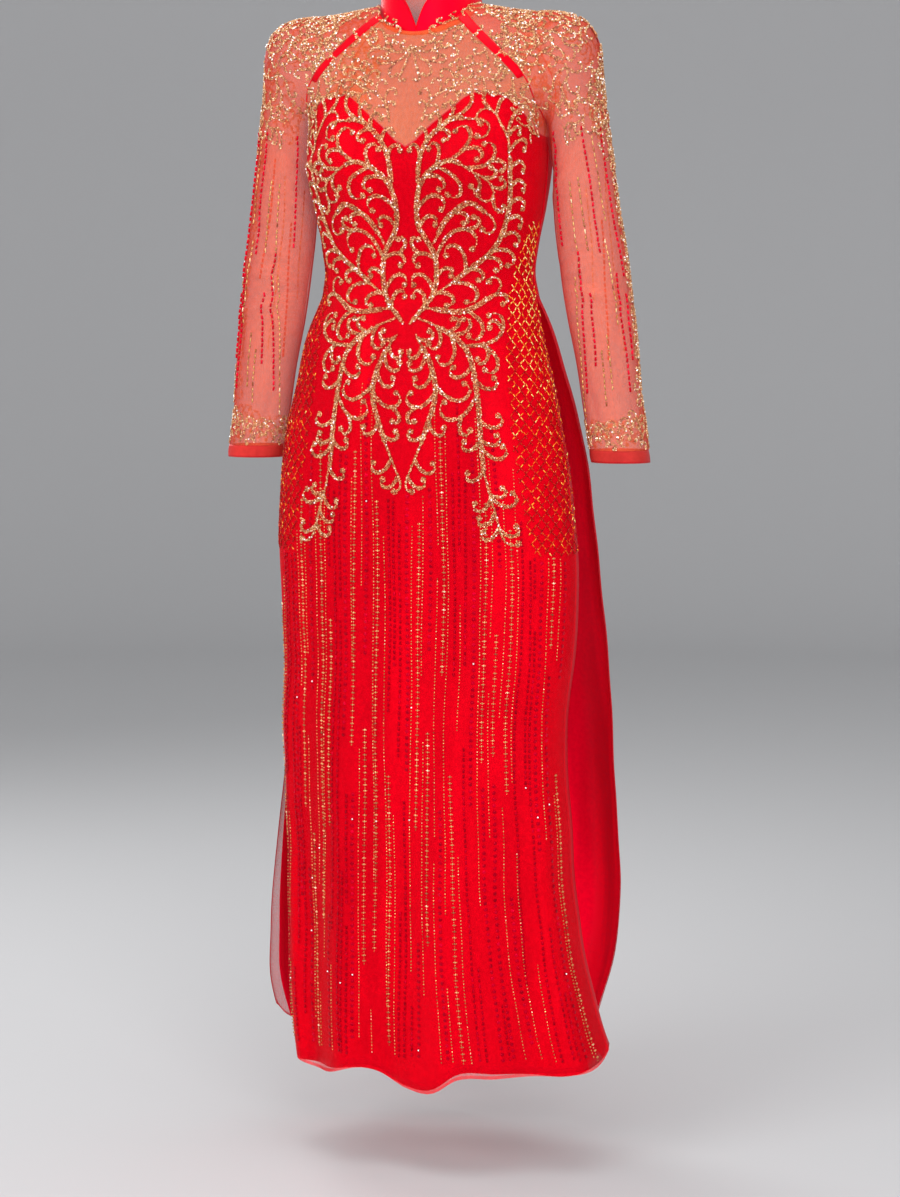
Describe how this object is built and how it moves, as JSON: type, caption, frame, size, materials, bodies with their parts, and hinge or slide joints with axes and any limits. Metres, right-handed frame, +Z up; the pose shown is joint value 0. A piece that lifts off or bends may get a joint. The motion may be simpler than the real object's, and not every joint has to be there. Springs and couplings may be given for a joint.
{
  "type": "ao dai tunic",
  "caption": "Long fitted tunic with stand collar, sheer raglan sleeves and long front and back skirt panels open from the waist, worn over trousers; shown worn and hollow",
  "frame": {"origin": "the centre of the neck opening, level with the sides of the neck, where the wearer's shoulders carry the garment", "axes": "+Z up along the wearer, -Y out of the front, +X towards the wearer's left"},
  "size_m": [0.553, 0.292, 1.3915],
  "materials": {
    "beaded_net": "sheer red net with gold beadwork",
    "sheer_net": "sheer red chiffon",
    "sleeve_net": "sheer red net with beaded edges",
    "satin": "smooth red satin",
    "collar_cloth": "red net over stiffened satin, edged with beads"
  },
  "bodies": {
    "root": {"back_mesh": "sheer_net", "back_satin": "satin", "collar": "collar_cloth", "cuff_left": "satin", "cuff_right": "satin", "front_mesh": "beaded_net", "front_satin": "satin", "raglan_band_left": "satin", "raglan_band_right": "satin", "sleeve_left": "sleeve_net", "sleeve_right": "sleeve_net"}
  },
  "joints": []
}
